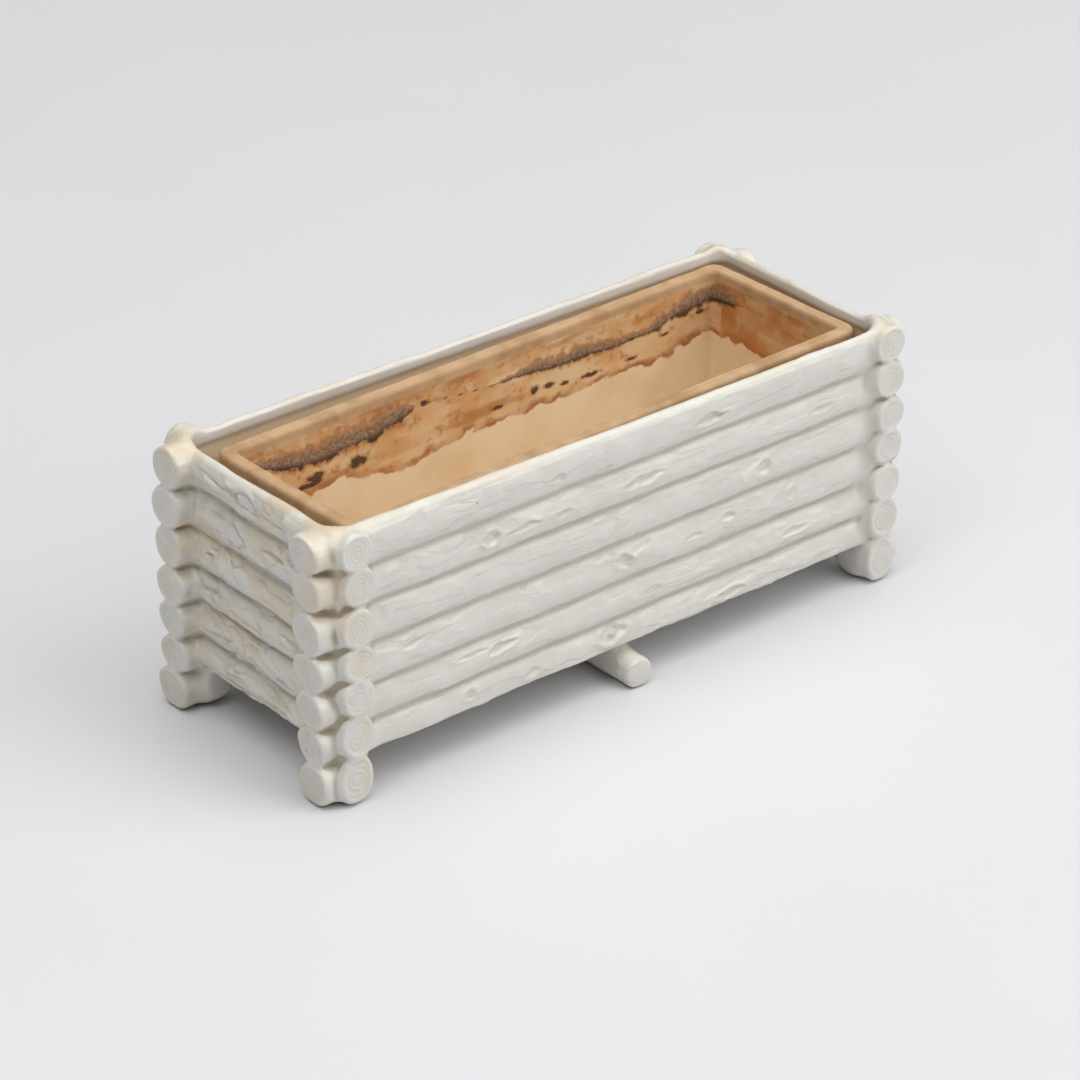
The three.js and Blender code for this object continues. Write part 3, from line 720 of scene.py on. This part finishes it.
colour = "#e1ded7"
for over, *masks in (
    ("#dddad2", (marks["milky"], 0.4, 0.62)),
    # Painted light: faces that look up are painted a paler cream, as if lit from above.
    ("#e9e5d8", (at["upward"], 0.1, 0.7, 0.0, 0.8)),
    # Partly grey glaze pooled in the hollows and partly painted shade: the creases and the grooves between
    # the logs are painted darker.
    ("#c2bba9", (at["crease"], 0.05, 0.2)),
    ("#b7b19f", at["grooved"], 0.7),
    ("#e0cfb2", (at["dirt"], 0.0, 1.0), (marks["tea"], 0.47, 0.57), 0.8),
    ("#ead5b6", (at["dirt"], 0.8, 1.9)),
    # Soil stain in the deepest creases; in the pockets between the crossed ends it is painted shade.
    ("#a08b6c", (at["crease"], 0.1, 0.22), (marks["seeping"], 0.38, 0.6, 0.1, 0.75)),
    ("#e6d7bf", (at["crease"], -0.12, -0.24), (marks["worn"], 0.5, 0.66, 0.0, 0.35)),
    ("#e2cdbd", (at["gouged"], 0.2, 0.9, 0.0, 0.5)),
    # Painted shade in the bottoms of the scratched growth rings.
    ("#cbc5b8", ring_marks, 0.22),
    ("#5d4a38", speck, one_in_five),
):
    colour = stained(tree, colour, over, *masks)
tree.links.new(colour, shader.inputs["Base Color"])
shine = {0: marks["shine"], 1: 0.3, 2: 0.7, 3: 0.14, 4: 0.26}
tree.links.new(add(tree, "MapRange", shine, interpolation_type="SMOOTHSTEP"), shader.inputs["Roughness"])
shader.inputs["IOR"].default_value = GLAZE_IOR

# The flakes are drawn out along the logs of each wall, and the glaze over them is faintly wavy.
flakes = []
for sizes in ((FLAKE_THROUGH, FLAKE_LENGTH, FLAKE_TALL), (FLAKE_LENGTH, FLAKE_THROUGH, FLAKE_TALL)):
    drawn_out = add(tree, "Mapping", {"Vector": place, "Scale": [1000 / size for size in sizes]})
    flakes.append(add(tree, "TexNoise", {"Vector": drawn_out, "Scale": 1.0, "Detail": 4.0}))
flake = add(tree, "Mix", {0: at["lengthwise"], 2: flakes[0], 3: flakes[1]})
flake = add(tree, "MapRange", {0: flake, 1: 0.48, 2: 0.535}, interpolation_type="SMOOTHSTEP")
flake = add(tree, "Math", {0: flake, 1: at["bark"]}, operation="MULTIPLY")
scratched = add(tree, "Math", {0: ring_marks, 1: 0.7}, operation="MULTIPLY")
relief = add(tree, "Math", {0: flake, 1: scratched}, operation="SUBTRACT")
bumps = add(tree, "Bump", {"Strength": 0.6, "Distance": 0.0006, "Height": relief})
bumps = add(tree, "Bump", {"Strength": 0.2, "Distance": 0.0005, "Height": marks["waves"], "Normal": bumps})
tree.links.new(bumps, shader.inputs["Normal"])

for number, name in enumerate(PARTS):
    solid = inside & (part_number == number)
    filled = [np.flatnonzero(solid.any(axes)) for axes in ((1, 2), (0, 2), (0, 1))]
    low = np.array([run[0] for run in filled])
    block = tuple(slice(run[0], run[-1] + 1) for run in filled)
    quads, edges, facing = outer_quads(solid[block], low)
    used, quads = np.unique(quads, return_inverse=True)
    quads = quads.reshape(-1, 4)
    known = np.searchsorted(cell_number, used).clip(0, len(cell_number) - 1)
    outer = cell_number[known] == used
    middles = in_millimetres(np.stack(np.unravel_index(used, shape), 1), np.full((len(used), 3), 0.5))
    corners = np.where(outer[:, None], points[known], middles)
    made = new_object(name + "_glazed", (corners / 1000).tolist(), quads.tolist())
    for title, values in GLAZED_SKIN.items():
        told = made.data.attributes.new(title, "FLOAT", "POINT")
        told.data.foreach_set("value", np.where(outer, values[known], 0).astype(np.float32))
    cut = ~np.isin(edges, whole_edges)
    turned = np.where(cut[:, None, None], facing[:, None], normals[known][quads])
    made.data.shade_smooth()
    made.data.normals_split_custom_set(turned.reshape(-1, 3).tolist())
    made.data.materials.append(glaze)
    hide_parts(name)
    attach(made, "glazed_body")


# Liner: a plain slab-built terracotta trough, loose in the pot, with a thick rim that was smoothed
# with a wet finger. Its surface is rings of points from under its floor, over the rim, to the inside.
LINER_LENGTH = 376.0
LINER_WIDTH = 122.0
LINER_HEIGHT = 124.6
LINER_CORNER = 8.0
LINER_AT = (4.2, 0.2, 33.85)
LINER_YAW = math.radians(1.5)
LONG_POINTS = 290
SHORT_POINTS = 88
CORNER_POINTS = 10
INSIDE_TOP = 9.6
INSIDE_FOOT = 10.8
INSIDE_FLOOR = 10.0

# The cut across its wall, from under the floor to the inside: distance inwards, height.
TOP = LINER_HEIGHT
section = [(46 - 4 * n, 0) for n in range(10)]
section += [(6.5, 0), (4.6, 0.5), (3.3, 1.8), (2.7, 3.6)]
section += [(2.6 - 2.4 * t, 4 + (TOP - 8) * t) for t in np.linspace(0.06, 1, 14)]
section += [(0.1, TOP - 2.6), (0.5, TOP - 1.2), (1.3, TOP - 0.4), (2.4, TOP), (3.8, TOP), (4.9, TOP - 0.1)]
section += [(5.5, TOP - 0.5), (6.1, TOP - 0.15), (7.0, TOP - 0.1), (7.9, TOP - 0.5), (8.6, TOP - 1.3)]
section += [(9.0, TOP - 2.5), (9.1, TOP - 4.0), (9.3, TOP - 5.6)]
first_inside = len(section)
section += [(INSIDE_TOP + (INSIDE_FOOT - INSIDE_TOP) * t, TOP - 7 + (17 - TOP + 7) * t)
            for t in np.concatenate([np.linspace(0, 0.5, 44), np.linspace(0.53, 1, 14)])]
section += [(11.2, 14.4), (12.2, 12.2), (13.8, 10.7), (16.0, INSIDE_FLOOR)]
section += [(19 + 4 * n, INSIDE_FLOOR) for n in range(8)]
inset, level = np.array(section, float).T


def ring(inward):
    """A ring of the trough, this far inside its outline."""
    radius = max(LINER_CORNER - 0.55 * inward, 3.0)
    half_x, half_y = LINER_LENGTH / 2 - inward - radius, LINER_WIDTH / 2 - inward - radius
    runs = []
    for turn, (cx, cy, steps) in enumerate(((1, 1, LONG_POINTS), (-1, 1, SHORT_POINTS),
                                            (-1, -1, LONG_POINTS), (1, -1, SHORT_POINTS))):
        angle = math.pi / 2 * (turn + np.linspace(0, 1, CORNER_POINTS))
        corner = np.stack([cx * half_x + radius * np.cos(angle), cy * half_y + radius * np.sin(angle)], 1)
        # The straight run from this corner to the next one, a quarter turn on.
        ahead = np.array([-cy * half_x, cx * half_y])
        end = ahead + radius * np.array([round(math.cos(angle[-1])), round(math.sin(angle[-1]))])
        share = np.linspace(0, 1, steps + 2)[1:-1, None]
        runs += [corner, corner[-1] + (end - corner[-1]) * share]
    return np.concatenate(runs)


loops = np.stack([ring(i) for i in inset])
across = loops.shape[1]
around = np.arange(across)
levels = np.broadcast_to(level[:, None, None], loops.shape[:2] + (1,))
points = np.concatenate([loops, levels], 2).reshape(-1, 3)
following = (around + 1) % across
strip = np.stack([around, following, following + across, around + across], 1)
strips = np.concatenate([strip + across * row for row in range(len(section) - 1)])
normals = point_normals(points, strips)
pressed = 0.5 * noise(points, np.array([70, 70, 22]), 61)
pressed = pressed + 0.25 * noise(points, 12, 62) + 0.07 * noise(points, 3, 63)
points = points + normals * (pressed * (points[:, 2] > 1))[:, None]

# Old soil left a tide line round the inside, stains above it, and a dark crust near the rim. The
# heights along each wall are in millimetres above the table.
BACK_TIDE = (
    (-180, 117), (-126, 114), (-105, 117.3), (-86, 112.9), (-61, 107.6), (-38, 113), (-13, 116),
    (45, 114.5), (87, 115.5), (129, 113.5), (146, 114.5), (168, 119.7), (183, 119),
)
RIGHT_TIDE = ((-50, 117), (8, 118.4), (28, 118.4), (42, 119.2), (55, 116.4))
# Place along the back wall, middle height and half height of the crust.
BACK_CRUST = (
    (-176, 144.5, -2), (-165, 144.5, 2.5), (-152, 142.2, 4.3), (-135, 138.6, 5.0), (-120, 137.6, 5.6),
    (-107, 139, 6.5), (-95, 139, 5.3), (-82, 139.5, 6.0), (-70, 142, 6.0), (-60, 143.5, 4.6),
    (-52, 144, 1.2), (-47, 144, -2), (6, 138.6, -2), (14, 138.8, 1.3), (24, 139, 1.3), (39, 140, 3.7),
    (51, 138.1, 3.4), (66, 137.9, 4.3), (81, 138.2, 4.0), (102, 135, 2.4), (115, 135.8, 1.8),
    (128, 135.2, 1.8), (137, 138.2, 4.2), (150, 142, 4.4), (163, 143.2, 5.7), (174, 144.2, 5.0),
    (190, 143.5, 4.0),
)
RIGHT_CRUST = ((-60, 143, -3), (30, 143, -2), (38, 144, 3.4), (50, 144.5, 5.0), (60, 144.5, 5.0))
# Place, height, half length and half height of the separate dark blots on the back wall.
BLOTS = (
    (-93, 123.9, 5, 3.4), (-123, 124.2, 5, 2.6), (-126, 120.6, 9, 1.3), (-44, 144.3, 2.6, 1.8),
    (10, 123.4, 5, 1.3), (39, 125.5, 3.6, 2.4), (50, 124.6, 5.5, 1.6), (62, 122.5, 4, 1.2),
    (82, 121.4, 8, 1.6), (115, 121.3, 4, 1.4), (141, 128.8, 3, 1.2), (157, 137.0, 4, 2.0),
    (170, 134.8, 3, 1.0),
)

turned = np.array([[math.cos(LINER_YAW), -math.sin(LINER_YAW)], [math.sin(LINER_YAW), math.cos(LINER_YAW)]])
points = np.concatenate([points[:, :2] @ turned.T, points[:, 2:]], 1) + LINER_AT
normals = point_normals(points, strips)
px, py, pz = points.T
inside_wall = np.repeat(np.arange(len(section)) >= first_inside, across)
to_back, to_right = py - 45, px - 177
on_back = inside_wall & (to_back > 0) & (to_back > to_right)
on_right = inside_wall & (to_right > 0) & ~on_back
tide = pz - 117 - 2.5 * noise(points, np.array([30, 30, 300]), 64)
tide[on_back] = (pz - np.interp(px, *np.array(BACK_TIDE).T))[on_back]
tide[on_right] = (pz - np.interp(py, *np.array(RIGHT_TIDE).T))[on_right]
crust = np.full(len(points), -1.0)
under = np.zeros(len(points))
for on, place, table in ((on_back, px, BACK_CRUST), (on_right, py, RIGHT_CRUST)):
    spot, middle, half = np.array(table, float).T
    above_middle = (pz - np.interp(place, spot, middle)) / np.maximum(np.interp(place, spot, half), 0.2)
    crust[on] = (1 - np.abs(above_middle))[on]
    under[on] = -above_middle[on]
for spot, height, half_length, half_height in BLOTS:
    near = 1 - np.hypot((px - spot) / half_length, (pz - height) / half_height)
    under[on_back] = np.where(near > crust, 0.8, under)[on_back]
    crust[on_back] = np.maximum(crust, near)[on_back]
crust = np.clip(crust + 0.3 * noise(points, 9, 65) + 0.12 * noise(points, 2.6, 66), -1, 1)
tide = np.where(inside_wall, tide, 30)
caking = np.clip(crust / 0.3, 0, 1) * (0.45 + 0.3 * noise(points, 2.2, 67))
points = points + normals * (caking * inside_wall)[:, None]

# Terracotta: buff earthenware fired without a glaze, so it is matt and drinks up what stands in it.
# Clean below the tide line, orange and streaked above it, with a thin dark crust of lime and soil.
LINER_SKIN = {"tide": tide, "crust": crust, "under": under, "inside": inside_wall, "end": on_right}
# Size in millimetres of each kind of cloudy mark, and how finely it breaks up.
CLAY_MARKS = {"buff": (45.5, 3.0), "orange": (41.7, 6.0), "pale": (12.5, 6.0), "rusty": (5.26, 7.0),
              "ragged": (13.33, 6.0), "line": (16.67, 6.0), "end": (28.6, 5.0), "rim": (20.0, 6.0),
              "crumbs": (2.0, 5.0), "breaks": (4.17, 6.0), "grit": (1.43, 3.0)}
STREAK_LENGTH = 58.8
STREAK_WIDTH = 13.33
CLAY_IOR = 1.45

clay, tree, shader = new_material("stained_terracotta")
place = add(tree, "TexCoord", output="Object")
at = {title: add(tree, "Attribute", output="Fac", attribute_name=title) for title in LINER_SKIN}
marks = {}
for title, (size, detail) in CLAY_MARKS.items():
    marks[title] = add(tree, "TexNoise", {"Vector": place, "Scale": 1000 / size, "Detail": detail})
streak_scale = [1000 / size for size in (STREAK_LENGTH, STREAK_LENGTH, STREAK_WIDTH)]
drawn_out = add(tree, "Mapping", {"Vector": place, "Scale": streak_scale})
streaks = add(tree, "TexNoise", {"Vector": drawn_out, "Scale": 1.0, "Detail": 5.0})
ragged = {0: marks["ragged"], 1: 0.3, 2: 0.7, 3: -2.2, 4: 2.2}
ragged = add(tree, "MapRange", ragged, interpolation_type="SMOOTHSTEP")
edge = add(tree, "Math", {0: at["tide"], 1: ragged}, operation="ADD")
breaks = {0: marks["breaks"], 1: 0.3, 2: 0.7, 3: -0.35, 4: 0.35}
breaks = add(tree, "MapRange", breaks, interpolation_type="SMOOTHSTEP")
broken = add(tree, "Math", {0: at["crust"], 1: breaks}, operation="ADD")

orange = stained(tree, "#e6c597", "#d8a56f", (marks["orange"], 0.38, 0.62))
for over, *masks in (
    ("#e2c7a0", (marks["pale"], 0.48, 0.7, 0.0, 0.8)),
    ("#b47745", (marks["rusty"], 0.55, 0.68, 0.0, 0.6)),
    ("#b0723f", (streaks, 0.5, 0.68, 0.0, 0.7)),
    ("#e9d0a8", (streaks, 0.46, 0.32, 0.0, 0.8)),
    ("#bf7c44", at["end"], (marks["end"], 0.3, 0.6, 0.2, 0.9)),
):
    orange = stained(tree, orange, over, *masks)
dark = stained(tree, "#7d6855", "#a18c77", (marks["crumbs"], 0.4, 0.6))
dark = stained(tree, dark, "#4f3828", (at["under"], 0.15, 0.9))
buff = stained(tree, "#f2dfc0", "#ecd3ad", (marks["buff"], 0.4, 0.65))
rim = stained(tree, "#cdab84", "#b38f67", (marks["rim"], 0.34, 0.72))
colour = stained(tree, buff, orange, (edge, -0.8, 0.8))
line = (edge, -1.4, 0.0), (edge, 5.0, 0.4), (marks["line"], 0.4, 0.6, 0.25, 0.95)
colour = stained(tree, colour, "#ad6c3d", *line)
colour = stained(tree, rim, colour, at["inside"])
colour = stained(tree, colour, "#ab7347", (broken, -0.62, 0.1, 0.0, 0.75))
colour = stained(tree, colour, dark, (broken, -0.05, 0.3), (at["under"], -1.0, 0.1, 0.35, 0.95))
tree.links.new(colour, shader.inputs["Base Color"])
shader.inputs["Roughness"].default_value = 0.88
shader.inputs["IOR"].default_value = CLAY_IOR
grain = add(tree, "Bump", {"Strength": 0.5, "Distance": 0.0004, "Height": marks["grit"]})
tree.links.new(grain, shader.inputs["Normal"])

bottom, top = list(range(across))[::-1], [across * (len(section) - 1) + n for n in range(across)]
trough = new_object("liner_terracotta", (points / 1000).tolist(), strips.tolist() + [bottom, top])
for title, values in LINER_SKIN.items():
    told = trough.data.attributes.new(title, "FLOAT", "POINT")
    told.data.foreach_set("value", values.astype(np.float32))
trough.data.shade_smooth()
trough.data.materials.append(clay)
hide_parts("liner")
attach(trough, "liner")
